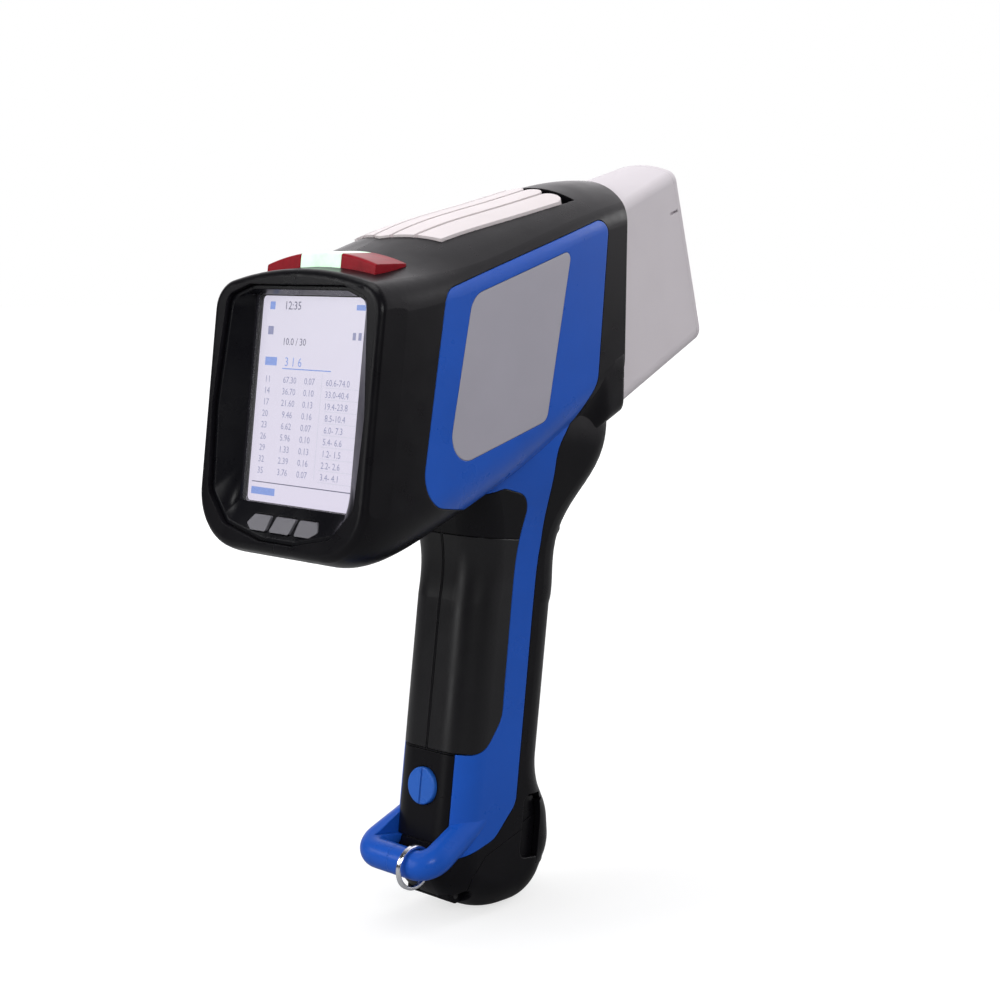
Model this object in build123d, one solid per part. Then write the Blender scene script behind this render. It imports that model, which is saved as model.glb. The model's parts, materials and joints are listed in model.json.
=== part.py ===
from build123d import *
import os

os.makedirs("parts", exist_ok=True)

# Handheld X-ray fluorescence analyzer, millimetres.
# Modelled upright on its own grip: X operator's right, Y forward, Z up the grip.
# Export then leans everything forward by LEAN and sets the sole of the boot on Z = 0.
LEAN = 7.3
SOLE = 3.937
PITCH = 23.3                     # barrel axis above the plane square to the grip
BARREL_Y = -113.8                # barrel axis frame starts at the middle of the screen
BARREL_Z = 193.7

# wall build-up
COVER = 1.8                      # coloured side covers and grip pads
PLATE = 0.8                      # side plates let into the covers
WALL = 4.2                       # housing wall with its covers on
FIT = 0.3                        # clearance all round a loose fit
SEAM = 0.25                      # clearance of a tight visible seam
RUN = 0.08                       # clearance round a pin that something turns on
SIDE = 60.0                      # cuts and webs run this far from the middle, past the skin
FAR_REAR = -130.0                # cuts from the rear start here
FAR_FRONT = 200.0                # cuts along the barrel end here

# body stations: forward distance, half width, floor, shoulder, crown
RIM = (-123.0, 44.5, 140.5, 232.0, 239.5)
CHIN = (-106.0, 44.2, 138.5, 235.5, 243.8)
NAPE = (-86.0, 42.3, 145.0, 239.5, 254.5)
MIDDLE = (-48.0, 38.8, 163.5, 254.0, 270.5)
SHOULDERS = (-5.0, 34.2, 188.0, 272.0, 286.5)
BROW = (20.0, 31.2, 201.5, 280.5, 292.5)
FRONT = (34.0, 29.6, 207.5, 284.5, 294.0)
BODY_ROUNDS = (21.0, 11.0)       # lower corners, shoulders
RIM_ROUND = 3.0
BROW_SIDE_Y = 48.5               # front rim at the sides, with the grip leaning
BROW_BOW = 8.0                   # further forward at the middle

# grip and neck stations: height, half width, rear, front, corner radius
GRIP_HALF = 19.5
GRIP_REAR = -38.6
GRIP_FRONT = 10.4
GRIP_ROUND = 13.0
GRIP_TOP = (124.0, GRIP_HALF, GRIP_REAR, GRIP_FRONT, GRIP_ROUND)
NECK_LOW = (142.0, 20.0, -39.0, 10.0, GRIP_ROUND)
NECK_MID = (158.0, 23.0, -45.0, 10.5, 13.0)
NECK_HIGH = (172.0, 27.5, -56.0, 16.0, 13.0)
NECK_TOP = (188.0, 30.0, -68.0, 22.5, 13.0)
NECK_CROWN = (204.0, 28.0, -68.0, 24.0, 13.0)

# boot under the grip in the side view: corners and the radius each is rounded to
BOOT_HEEL = ((-38.6, 11.5), 18.0)
BOOT_KEEL = ((-12.0, 2.6), 42.0)
BOOT_TOE = ((13.0, 5.5), 20.0)
BOOT_BULGE = ((23.0, 27.0), 19.0)
BOOT_BROW = ((19.5, 43.5), 24.0)
BOOT_THROAT = ((10.4, 57.0), 24.0)

# rear display
BEZEL_CORNERS = ((25.0, 233.6), (37.0, 229.6), (40.6, 190.0), (39.0, 159.0), (29.0, 148.0), (9.0, 143.6))
BEZEL_ROUND = 5.0
BEZEL_REAR = -121.0
BEZEL_FRONT = -109.4
LEDGE_Y = -112.0
LEDGE = 1.0
DISH_RIM = 1.6
DISH_FLOOR = -115.8
SCREEN_WIDTH = 57.0
SCREEN_HEIGHT = 73.0
SCREEN_EASE = 0.6                # opening around the lit area
SCREEN_ROUND = 1.5
WINDOW_MARGIN = 1.4
WINDOW_Y = -114.8
WINDOW_THICK = 1.6
GASKET_THICK = 0.6
PANEL_THICK = 3.2
BOARD_THICK = 1.6
BOARD_HALF = 29.6
BOARD_LOW = 154.0
BOARD_HIGH = 229.0
CHIPS = ((-18.0, 6.0, 176.0, 188.0, 1.6), (2.0, 6.0, 176.0, 188.0, 1.6), (19.0, 6.0, 176.0, 188.0, 1.6),
         (1.0, 13.0, 198.0, 220.0, 2.2))     # middle, half width, foot, top, height

# keys under the screen
KEY_Z = 149.9
KEY_PITCH = 13.4
KEY_WIDTH = 11.4
KEY_HEIGHT = 5.6
KEY_SLANT = 1.0
KEY_PROUD = 0.9
KEY_TRAVEL = 0.8
KEY_ROUND = 0.8
KEYPAD_Y = -112.9
KEYPAD_THICK = 1.2
KEYPAD_HALF = 19.3
KEYPAD_LOW = 147.1
KEYPAD_HIGH = 153.0
KEYPAD_ROOM = 0.5                # its pocket is this much wider
KEYPAD_FOOT_ROOM = 0.6

# status lights
LENS_HALF = 28.5
LENS_SPLIT = 10.6
LENS_REAR = -112.5
LENS_FRONT = -98.5
LENS_CROWN = 246.3
LENS_EDGE = 241.9
LENS_RISE = 0.15                 # the lights climb this much for each unit forward
LENS_ROUND = 1.0
LENS_DEPTH = 3.0
LENS_FLOOR = 225.0
LIGHT_BOARD_HALF = 24.0
LIGHT_BOARD_REAR = -107.0
LIGHT_BOARD_FRONT = -101.0
LIGHT_BOARD_LOW = 232.6
LIGHT_BOARD_HIGH = 233.8
LIGHT_PITCH = 16.0
EMITTER_RADIUS = 1.8
EMITTER_HEIGHT = 2.4
LIGHT_RIB_X = (19.0, 21.0)
LIGHT_RIB_TOP = 260.0

# heat sink, along the barrel
SINK_REAR = 50.0
SINK_REAR_SWEEP = 8.0
SINK_FRONT = 127.0
SINK_HALF = 22.8
SINK_RIBS = 5
SINK_GROOVE = 1.3
SINK_GROOVE_DEPTH = 2.6
SINK_DEPTH = 3.2
SINK_PROUD = 0.9
SINK_POCKET = 4.5
SINK_REACH = 70.0                # heat sink cutters rise this far above the barrel's axis

# nose stations along the barrel: distance, half width, bottom, shoulder, crown
NOSE_ROOT = (112.0, 30.4, -49.2, 26.0, 36.6)
NOSE_MOUTH = (200.6, 18.6, -40.9, 31.0, 34.9)
NOSE_ROUNDS = (6.5, 5.0)
NOSE_REAR = 118.0
NOSE_WALL = 2.6
FACEPLATE = 3.4
FILM_RADIUS = 6.0
FRAME_RADIUS = 10.0
FRAME_PROUD = 0.6
PORT_H = 2.0
FRAME_SEAT = 1.4                 # window frame sits this deep in the faceplate
FRAME_EDGE = 0.4
FRAME_GROOVE = (1.2, 1.1)        # film groove: beyond the film's edge, below the plate's face
FACE_EDGE = 1.2
SLIT = (15.4, 16.4, 6.0, 1.2)    # parting slit: foot, top, length, depth

# measuring engine, along the barrel
TUBE_H = 12.0
TUBE_RADIUS = 12.0
TUBE_TIP_RADIUS = 5.0
TUBE_START = 64.0
TUBE_SHOULDER = 150.0
TUBE_END = 186.0
TUBE_FINS = 7
TUBE_FIN = (6.0, 5.0, 1.5, 2.0)  # first fin's distance, pitch, thickness, height
CARRIER_WINDOW = 4.0
DETECTOR_H = -21.0
DETECTOR_RADIUS = 9.0
DETECTOR_TIP_RADIUS = 5.0
DETECTOR_START = 100.0
DETECTOR_SHOULDER = 168.0
BRACKET_THICK = 3.0
NOSE_BOSS = 3.0
NOSE_BOSS_LENGTH = 12.0
NOSE_BOSS_X = 24.4
NOSE_BOSS_H = (-36.0, 14.0)
CARRIER_S = 186.3
CARRIER_THICK = 2.0
WHEEL_S = 188.8
WHEEL_THICK = 2.0
WHEEL_H = 2.2
WHEEL_RADIUS = 14.6
FILTERS = 6
FILTER_RADIUS = 3.2
MOTOR_RADIUS = 4.0
MOTOR_LENGTH = 18.0
SHAFT_RADIUS = 1.0
RAIL_H = -30.0
RAIL_THICK = 5.0
RAIL_START = 24.0
RAIL_END = 92.0
RAIL_INNER = 26.0
SIGNAL_HALF = 28.2
SUPPLY_HALF = 17.0
SUPPLY_HEIGHT = 19.0
SUPPLY_START = 14.0
SUPPLY_END = 54.0
SUPPLY_ROUND = 3.0
SIGNAL_THICK = 1.6
SIGNAL_START = 3.0
SIGNAL_CHIPS = (14.0, 4.0, 62.0, 74.0, 2.4)  # pitch, half width, start, end, height

# trigger
TRIGGER_HALF = 8.8
TRIGGER_PIN_Y = 8.0
TRIGGER_PIN_Z = 170.5
TRIGGER_PIN_RADIUS = 1.6
TRIGGER_FACE = ((2.5, 176.6), (20.5, 176.6), (15.8, 163.0), (18.4, 152.5), (12.0, 143.0), (3.0, 141.0))
TRIGGER_BACK = ((0.5, 150.0), (1.5, 165.0))
TRIGGER_ROUND = 2.4
TRIGGER_BACK_ROUND = 1.0
TRIGGER_EDGE = 1.6
TRIGGER_PIN_HALF = 13.9
TRIGGER_SWITCH = (5.0, -14.0, -3.2, 147.0, 158.0)   # half width, rear, front, foot, top
SWITCH_WALL = (-16.5, 145.0, 162.0)                 # rear, foot and top of the wall behind it
SPRING_RADIUS = 3.0
SPRING_HALF = 2.6
SPRING_TURNS = 4
SPRING_ROOM = (3.9, 3.4)         # radius and half length of the hollow for it
SPRING_GROOVE = (0.1, 0.4)       # half width and depth of the groove between its turns
POCKET_LOW = 139.5
POCKET_HIGH = 178.0
POCKET_REAR = -6.0

# rear switch panel and power button
SWITCH_HALF = 13.2
SWITCH_LOW = 31.0
SWITCH_HIGH = 65.5
POWER_Z = 51.8
POWER_RADIUS = 7.2
POWER_PROUD = 1.5
POWER_TRAVEL = 1.0
POWER_EDGE = 0.7
POWER_STEM = 2.6
POWER_STEM_END = -34.5
POWER_STEM_ROOM = 0.4
POWER_GROOVE = (0.4, 0.5)        # half width and depth
POWER_COLLAR = (7.5, 4.5, -36.0, -33.5)             # outer and inner radius, rear, front
POWER_SWITCH = (6.5, -33.5, -30.3)                  # half size, rear, front

# lanyard bar and ring
BAR_Y = -49.2
BAR_Z = 24.4
BAR_RADIUS = 5.7
ARM_START_X = 13.5
ARM_START_Y = -20.0
ARM_START_Z = 42.5
ARM_END_X = 16.9
ARM_BEND = 5.5
RING_X = 9.0
RING_OUTER = 8.6
RING_INNER = 7.1
RING_HALF = 1.0
RING_DROP = 1.1
RING_EDGE = 0.35

# battery, its cover and latch
BATTERY_HALF = 14.9
BATTERY_REAR = -24.0
BATTERY_FRONT = 5.9
BATTERY_LOW = 24.0
BATTERY_HIGH = 100.0
WEB_THICK = 2.2
SHELF_HALF = 9.0
SHELF_THICK = 2.0
BATTERY_ROUND = 9.0
GUIDE_LOW = 62.0
CONTACT_GAP = 1.7                # contact block's lip stands this thick over the battery
CONTACT_HALF = 9.0
CONTACT_REAR = -18.7
CONTACT_FRONT = -1.3
CONTACT_HEIGHT = 3.6
CONTACT_LIP = (2.0, 1.8)         # lip's width to the sides and to the front and rear
CONTACT_OPENING = 6.0
SHELF_REAR = -16.0
SHELF_FRONT = 2.0
SHELF_LOW = 5.0
SEAM_LINE = ((62.0, 63.4), (-21.0, 26.4), (-27.0, 19.0), (-27.0, -20.0), (62.0, -20.0))
HINGE_Y = -26.6
HINGE_Z = 10.0
HINGE_RADIUS = 2.9
HINGE_PIN = 1.2
HINGE_HALF = 11.0
HINGE_SPLIT = 5.5
LATCH_DEPTH = 3.0
LATCH_REAR = 8.9
LATCH_LOW = 20.6
LATCH_HIGH = 46.4
LATCH_PIN_Y = 17.0
LATCH_KNUCKLE = 2.6
LATCH_PIN = 1.2
LATCH_PIN_HALF = 12.9
LATCH_HALF = 13.0
KNUCKLE_ROOM = 0.4
LUG_NEAR = 6.0
LUG_FAR = 9.0
SLOT_REAR = -1.6
SLOT_LOW = 23.5
SLOT_HIGH = 49.0
SLOT_ROUND = 3.5

# screws
SCREW_RADIUS = 1.5
SCREW_HEAD = 2.8
SCREW_HEAD_THICK = 1.9
BOSS_RADIUS = 3.8
HOUSING_SCREWS = ((-99.0, 158.0), (-97.0, 222.0), (0.0, 122.0), (-30.0, 182.0))
SCREW_REACH = 10.0
FACE_SCREW = 1.1
FACE_SCREW_HEAD = 2.0
FACE_SCREW_X = 14.4
FACE_SCREW_H = (-34.5, 21.0)
FACE_SCREW_HEAD_THICK = 1.4
FACE_SCREW_SEAT = 1.6            # head's recess
FACE_SCREW_LENGTH = 7.5
NOSE_SCREW_LENGTH = 10.0
SOCKET = (1.2, 1.0)              # hexagon socket of the housing screws: size, depth
SMALL_SOCKET = (1.0, 0.7)

GRIP = Pos(0, 0, -SOLE) * Rot(-LEAN, 0, 0)
BARREL = Pos(0, BARREL_Y, BARREL_Z) * Rot(PITCH, 0, 0)
HUGE = 400.0


def box(x0, x1, y0, y1, z0, z1):
    """Box between two corners."""
    middle = ((x0 + x1) / 2, (y0 + y1) / 2, (z0 + z1) / 2)
    return Pos(*middle) * Box(x1 - x0, y1 - y0, z1 - z0)


def rod(radius, y0, y1, x=0.0, z=0.0):
    """Round bar along Y."""
    return Pos(x, (y0 + y1) / 2, z) * Rot(90, 0, 0) * Cylinder(radius, y1 - y0)


def pin(radius, x0, x1, y, z):
    """Round bar along X."""
    return Pos((x0 + x1) / 2, y, z) * Rot(0, 90, 0) * Cylinder(radius, x1 - x0)


def side_prism(points, x0, x1, radius=0.0):
    """Outline in the side view carried from x0 to x1."""
    face = make_face(Plane.YZ * Polyline(*points, close=True))
    if radius:
        face = fillet(face.vertices(), radius)
    return Pos(x0, 0, 0) * extrude(face, x1 - x0, dir=(1, 0, 0))


def rear_plane(y):
    """Drawing plane square to Y, X to the right and Z up."""
    return Plane(origin=(0, y, 0), x_dir=(1, 0, 0), z_dir=(0, -1, 0))


def arch_section(station, rounds, inset):
    """Arch-topped cross-section square to Y."""
    y, half, floor, shoulder, crown = station
    foot_round, shoulder_round = rounds
    half, floor = half - inset, floor + inset
    shoulder, crown = shoulder - inset, crown - inset
    plane = rear_plane(y)
    sides = Polyline((-half, shoulder), (-half, floor), (half, floor), (half, shoulder))
    arch = ThreePointArc((half, shoulder), (0, crown), (-half, shoulder))
    face = make_face(sides + arch)
    low = face.vertices().group_by(Axis.Y)[0]
    face = fillet(low, foot_round - inset)
    high = [v for v in face.vertices() if abs(v.Y - shoulder) < 0.01]
    face = fillet(high, shoulder_round - inset / 2)
    return plane * face


def body(inset):
    """Barrel of the analyzer, bowed across its front."""
    stations = (RIM, CHIN, NAPE, MIDDLE, SHOULDERS, BROW, FRONT)
    shape = loft([arch_section(s, BODY_ROUNDS, inset) for s in stations])
    if inset == 0:
        shape = fillet(shape.edges().group_by(Axis.Y)[0], RIM_ROUND)
    side = RIM[1]
    brow = BROW_SIDE_Y - inset
    bow = ThreePointArc((side, brow - BROW_BOW), (0, brow + BROW_BOW), (-side, brow - BROW_BOW))
    rear = RIM[0] - 1
    back = Polyline((-side, brow - BROW_BOW), (-side, rear), (side, rear), (side, brow - BROW_BOW))
    keep = extrude(make_face(bow + back), HUGE, dir=(0, 0, 1))
    return shape & (Rot(LEAN, 0, 0) * keep)


def grip_section(station, inset):
    """Rounded cross-section of the grip or neck."""
    z, half, rear, front, radius = station
    middle = (rear + front) / 2
    return Pos(0, middle, z) * RectangleRounded(2 * (half - inset), front - rear - 2 * inset, radius - inset)


def neck(inset):
    """Grip flaring into the barrel."""
    stations = (GRIP_TOP, NECK_LOW, NECK_MID, NECK_HIGH, NECK_TOP, NECK_CROWN)
    return loft([grip_section(s, inset) for s in stations])


def handle_profile():
    """Side outline of the straight grip and the boot."""
    corners = (BOOT_HEEL, BOOT_KEEL, BOOT_TOE, BOOT_BULGE, BOOT_BROW, BOOT_THROAT)
    top = GRIP_TOP[0]
    points = [point for point, radius in corners]
    face = make_face(Polyline((GRIP_REAR, top), *points, (GRIP_FRONT, top), close=True))
    for (y, z), radius in corners:
        corner = face.vertices().sort_by_distance((y, z, 0))[0]
        face = fillet(corner, radius)
    return face


def handle(inset):
    """Straight grip with the rounded boot under it."""
    face = handle_profile()
    if inset:
        face = offset(face, -inset)
    block = extrude(Plane.YZ * face, GRIP_HALF - inset, both=True)
    rims = [e for e in block.edges() if abs(abs(e.center().X) - GRIP_HALF + inset) < 0.01]
    top = GRIP_TOP[0] - inset
    rims = [e for e in rims if e.center().Z < top - 0.01]
    block = fillet(rims, GRIP_ROUND - inset)
    if inset > 0:
        cap = grip_section(GRIP_TOP, inset)
        block = block + extrude(cap, -2 * inset, dir=(0, 0, 1))
    return block


def envelope(inset):
    """Whole outside of the analyzer, drawn in by inset."""
    return body(inset) + neck(inset) + handle(inset)


def rounded(corners, grow=0.0):
    """Face of an outline whose corners are each rounded to their own radius."""
    face = make_face(Polyline(*[point for point, radius in corners], close=True))
    for (y, z), radius in corners:
        if radius:
            corner = face.vertices().sort_by_distance((y, z, 0))[0]
            face = fillet(corner, radius)
    if grow:
        face = offset(face, grow)
    return face


def on_sides(face, near, far):
    """Side-view face carried outward on both sides of the body."""
    right = Pos(near, 0, 0) * extrude(Plane.YZ * face, far - near, dir=(1, 0, 0))
    return right + mirror(right, Plane.YZ)


def on_right(face, near, far):
    """Side-view face carried outward on the right."""
    return Pos(near, 0, 0) * extrude(Plane.YZ * face, far - near, dir=(1, 0, 0))


# side cover outline in the side view
COVER_CORNERS = (
    ((-91.8, 235.6), 7.0),
    ((1.0, 274.9), 5.0),
    ((3.6, 211.0), 14.0),
    ((-13.0, 184.5), 14.0),
    ((-7.0, 148.0), 40.0),
    ((-6.5, 46.0), 8.0),
    ((-17.0, 33.0), 10.0),
    ((-52.0, 19.5), 0.0),
    ((-52.0, 66.0), 0.0),
    ((-27.0, 66.0), 12.0),
    ((-18.6, 80.0), 12.0),
    ((-19.6, 166.0), 9.0),
    ((-36.0, 168.5), 6.0),
    ((-60.0, 160.3), 20.0),
    ((-95.6, 161.2), 13.0),
)
PLATE_CORNERS = (
    ((-77.5, 235.5), 9.0),
    ((-22.0, 259.0), 2.5),
    ((-28.0, 195.0), 5.0),
    ((-83.5, 173.5), 9.0),
)
PAD_CORNERS = (
    ((-60.0, 66.5), 0.0),
    ((-10.0, 66.5), 0.0),
    ((-10.0, 149.0), 0.0),
    ((-60.0, 149.0), 0.0),
)
PAD_GROOVE = 0.6


def below_seam(gap):
    """Region under the battery cover seam."""
    face = make_face(Polyline(*SEAM_LINE, close=True))
    if gap:
        face = offset(face, gap, kind=Kind.INTERSECTION)
    return on_sides(face, 0, HUGE / 4)


def cover_zone(gap):
    """Where the right side cover lies on the body."""
    zone = on_right(rounded(COVER_CORNERS, gap), 2, HUGE / 4)
    return zone - box(0, SWITCH_HALF + SEAM - gap, -HUGE / 4, -27, 0, SWITCH_HIGH + 1)


def switch_zone(gap):
    """Where the rear switch panel lies on the grip."""
    half = SWITCH_HALF + gap
    return box(-half, half, -HUGE / 4, -27, SWITCH_LOW - gap, SWITCH_HIGH + gap)


def pad_zone(gap):
    """Where the right grip pad lies on the grip."""
    return on_right(rounded(PAD_CORNERS, gap), PAD_GROOVE - gap, HUGE / 4) - cover_zone(SEAM - gap)


def arm(grow):
    """Right-hand arm and its half of the lanyard bar."""
    start = (ARM_START_X, ARM_START_Y, ARM_START_Z)
    elbow = (ARM_END_X, BAR_Y, BAR_Z)
    end = (0.0, BAR_Y, BAR_Z)
    path = FilletPolyline(start, elbow, end, radius=ARM_BEND + 1)
    tangent = path % 0
    profile = Plane(origin=start, z_dir=tangent) * Circle(BAR_RADIUS + grow)
    return sweep(profile, path=path)


def bezel_outline(inset):
    """Rear view outline of the display bezel."""
    right = list(BEZEL_CORNERS)
    left = [(-x, z) for x, z in reversed(right)]
    face = make_face(Polyline(*right, *left, close=True))
    face = fillet(face.vertices(), BEZEL_ROUND)
    if inset:
        face = offset(face, -inset)
    return face


def rear_slab(face, y0, y1):
    """Rear-view face carried forward from y0 to y1."""
    return extrude(rear_plane(y0) * face, y1 - y0, dir=(0, 1, 0))


def screen_slab(margin, y0, y1):
    """Rectangle around the screen."""
    width = SCREEN_WIDTH + 2 * margin
    height = SCREEN_HEIGHT + 2 * margin
    face = Pos(0, BARREL_Z) * RectangleRounded(width, height, SCREEN_ROUND + margin / 2)
    return rear_slab(face, y0, y1)


def lens_zone(gap):
    """Where the three status lights lie on the crown."""
    half = LENS_HALF + gap
    return box(-half, half, LENS_REAR - gap, LENS_FRONT + gap, LENS_FLOOR, HUGE)


def sink_zone(gap):
    """Where the heat sink lies along the crown."""
    half = SINK_HALF + gap
    back = SINK_REAR - gap
    tip = SINK_FRONT + gap
    shoulder = back + SINK_REAR_SWEEP
    outline = Polyline((-half, tip), (-half, shoulder), (0, back), (half, shoulder), (half, tip), close=True)
    return BARREL * extrude(make_face(outline), SINK_REACH, dir=(0, 0, 1))


def nose_solid(inset, start, end):
    """Tapering nose between two stations along the barrel."""
    faces = [arch_section(s, NOSE_ROUNDS, inset) for s in (NOSE_ROOT, NOSE_MOUTH)]
    return loft(faces, ruled=True) & box(-SIDE, SIDE, start, end, -HUGE, HUGE)


def latch_pocket():
    """Recess for the battery latch with a finger slot on each side of it."""
    pocket = box(-HUGE / 4, HUGE / 4, LATCH_REAR - FIT, HUGE / 4, LATCH_LOW - FIT, LATCH_HIGH + FIT)
    slot = box(-HUGE / 4, HUGE / 4, SLOT_REAR, LATCH_REAR, SLOT_LOW, SLOT_HIGH)
    ends = [e for e in slot.edges().filter_by(Axis.X) if e.center().Y < LATCH_REAR - 1]
    slot = fillet(ends, SLOT_ROUND)
    return (pocket + slot) - envelope(LATCH_DEPTH + FIT)


def webs():
    """Walls and ribs inside the housing, before it is split."""
    top = BATTERY_HIGH + FIT
    deck = top + CONTACT_GAP
    contact_deck = box(-SIDE, SIDE, -SIDE, SIDE, deck, deck + WEB_THICK)
    guide = BATTERY_REAR - FIT
    battery_guide = box(-SIDE, SIDE, guide - WEB_THICK, guide, GUIDE_LOW, top + 2)
    switch_wall = box(-SIDE, SIDE, SWITCH_WALL[0], TRIGGER_SWITCH[1], SWITCH_WALL[1], SWITCH_WALL[2])
    rails = box(-SIDE, SIDE, RAIL_START, RAIL_END, RAIL_H - RAIL_THICK / 2, RAIL_H + RAIL_THICK / 2)
    rails = BARREL * (rails - box(-RAIL_INNER, RAIL_INNER, 0, FAR_FRONT, -SIDE, SIDE))
    near, far = LIGHT_RIB_X
    light_rib = box(near, far, LIGHT_BOARD_REAR, LIGHT_BOARD_FRONT, LIGHT_BOARD_HIGH, LIGHT_RIB_TOP)
    light_ribs = mirror(light_rib, Plane.YZ) + light_rib
    bosses = [pin(BOSS_RADIUS, -SIDE, SIDE, y, z) for y, z in HOUSING_SCREWS]
    ribs = [contact_deck, battery_guide, switch_wall, rails, light_ribs] + bosses
    return [UNDER & rib for rib in ribs]


def housing():
    """Both housing halves as one shell, before it is split."""
    zone = cover_zone(SEAM) + pad_zone(SEAM)
    recess = SKIN & (zone + mirror(zone, Plane.YZ) + switch_zone(SEAM))
    shell = OUTER - recess - (INNER & box(-SIDE, SIDE, BEZEL_FRONT, SIDE, 0, HUGE))
    for web in webs():
        shell = shell + web
    shell = shell - rear_slab(bezel_outline(0), FAR_REAR, LEDGE_Y)
    shell = shell - rear_slab(bezel_outline(LEDGE), LEDGE_Y - 1, BEZEL_FRONT + WALL)
    shell = shell - (lens_zone(SEAM) - envelope(LENS_DEPTH))
    sink_front = SINK_FRONT + SINK_POCKET
    sink = sink_zone(SEAM) + BARREL * box(-SINK_HALF, SINK_HALF, TUBE_START, sink_front, 0, SINK_REACH)
    shell = shell - (sink - envelope(SINK_DEPTH))
    shell = shell - BARREL * nose_solid(-SEAM, NOSE_ROOT[0] + 1, FAR_FRONT)
    grown = arm(FIT) - UNDER
    shell = shell - grown - mirror(grown, Plane.YZ)
    shell = shell - below_seam(FIT) - latch_pocket()
    shell = shell - pin(HINGE_RADIUS + 0.5, -30, 30, HINGE_Y, HINGE_Z) + hinge_knuckles()
    half = TRIGGER_HALF + FIT
    shell = shell - box(-half, half, POCKET_REAR, 60, POCKET_LOW, POCKET_HIGH)
    reach = TRIGGER_PIN_HALF + 0.1
    shell = shell - pin(TRIGGER_PIN_RADIUS, -reach, reach, TRIGGER_PIN_Y, TRIGGER_PIN_Z)
    shell = shell - rod(POWER_STEM + POWER_STEM_ROOM, GRIP_REAR - WALL, POWER_SWITCH[2], z=POWER_Z)
    outer, inner, rear, front = POWER_COLLAR
    shell = shell + (rod(outer, rear, front, z=POWER_Z) - rod(inner, rear - 1, front + 1, z=POWER_Z) & INNER)
    slot_half = SIGNAL_THICK / 2 + FIT / 2
    slot_side = SIGNAL_HALF + FIT
    board_slot = box(-slot_side, slot_side, 0, RAIL_END - 4, RAIL_H - slot_half, RAIL_H + slot_half)
    shell = shell - BARREL * board_slot
    contact_side = CONTACT_HALF + FIT
    shell = shell - box(-contact_side, contact_side, CONTACT_REAR - FIT, CONTACT_FRONT + FIT,
                        BATTERY_HIGH, BATTERY_HIGH + CONTACT_OPENING)
    for y, z in HOUSING_SCREWS:
        reach = pin(SCREW_RADIUS, -SIDE, SCREW_REACH, y, z)
        seat = pin(SCREW_HEAD + FIT, -SIDE, screw_seat(y, z), y, z)
        shell = shell - reach - seat
    return shell


def hinge_knuckles():
    """Housing side of the battery cover hinge."""
    near = HINGE_SPLIT + FIT
    root_y = HINGE_Y - HINGE_RADIUS - 1.5
    knuckle = pin(HINGE_RADIUS, near, HINGE_HALF, HINGE_Y, HINGE_Z)
    knuckle = knuckle + box(near, HINGE_HALF, root_y, HINGE_Y, HINGE_Z - 1.5, HINGE_Z + HINGE_RADIUS)
    knuckle = knuckle - pin(HINGE_PIN, 0, 30, HINGE_Y, HINGE_Z)
    return knuckle + mirror(knuckle, Plane.YZ)


def screw_seat(y, z):
    """Where a housing screw head seats, below the skin on the left."""
    bare = pin(SCREW_HEAD, -SIDE, 0, y, z) - UNDER
    return bare.bounding_box().max.X + SCREW_HEAD_THICK + FIT


def housing_screws():
    """Screws closing the housing from the left."""
    screws = []
    for y, z in HOUSING_SCREWS:
        seat = screw_seat(y, z)
        head = seat - SCREW_HEAD_THICK
        screw = pin(SCREW_RADIUS, seat, SCREW_REACH, y, z) + pin(SCREW_HEAD, head, seat, y, z)
        size, depth = SOCKET
        socket = Pos(head, y, z) * Rot(0, 90, 0) * extrude(RegularPolygon(size, 6), depth, both=True)
        screws.append(screw - socket)
    return screws


def side_cover():
    """Coloured right side cover with its strip, arm and half lanyard bar."""
    skin = SKIN & cover_zone(0)
    cover = skin + (arm(0) - UNDER - switch_zone(SEAM))
    pocket = on_right(rounded(PLATE_CORNERS, SEAM / 2), 2, HUGE / 4) - envelope(PLATE)
    return cover - pocket


def side_plate():
    """Plain inlay let into the right side cover."""
    return on_right(rounded(PLATE_CORNERS), 2, HUGE / 4) & (OUTER - envelope(PLATE))


def switch_panel():
    """Rear panel around the power button."""
    return (SKIN & switch_zone(0)) - rod(POWER_RADIUS + FIT, -SIDE, POWER_SWITCH[2], z=POWER_Z)


def power_button():
    """Round power button with a finger groove."""
    outside = GRIP_REAR - POWER_PROUD
    cap = rod(POWER_RADIUS, outside, GRIP_REAR + COVER - POWER_TRAVEL - 0.2, z=POWER_Z)
    cap = fillet(cap.edges().group_by(Axis.Y)[0], POWER_EDGE)
    stem = rod(POWER_STEM, GRIP_REAR, POWER_STEM_END, z=POWER_Z)
    half, depth = POWER_GROOVE
    groove = box(-half, half, outside - 1, outside + depth, POWER_Z - POWER_RADIUS, POWER_Z + POWER_RADIUS)
    return cap + stem - groove


def rear_bezel():
    """Dished frame around the screen and the keys."""
    block = rear_slab(bezel_outline(SEAM), BEZEL_REAR, LEDGE_Y)
    block = block + rear_slab(bezel_outline(LEDGE + SEAM), LEDGE_Y, BEZEL_FRONT)
    deep = BEZEL_FRONT + 1
    block = block - dish() - screen_slab(SCREEN_EASE, FAR_REAR, deep)
    block = block - screen_slab(WINDOW_MARGIN + SEAM, WINDOW_Y, deep)
    side = KEYPAD_HALF + KEYPAD_ROOM
    block = block - box(-side, side, KEYPAD_Y, deep, KEYPAD_LOW - KEYPAD_FOOT_ROOM, KEYPAD_HIGH + FIT)
    for place in (-1, 0, 1):
        block = block - key_prism(place, FIT, FAR_REAR, deep)
    return block


def dish():
    """Hollow between the rim of the bezel and the screen."""
    rim = rear_plane(BEZEL_REAR - 0.01) * bezel_outline(DISH_RIM)
    width = SCREEN_WIDTH + 2 * SCREEN_EASE
    height = SCREEN_HEIGHT + 2 * SCREEN_EASE
    floor = rear_plane(DISH_FLOOR) * (Pos(0, BARREL_Z) * Rectangle(width, height))
    return loft([rim, floor])


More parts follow.
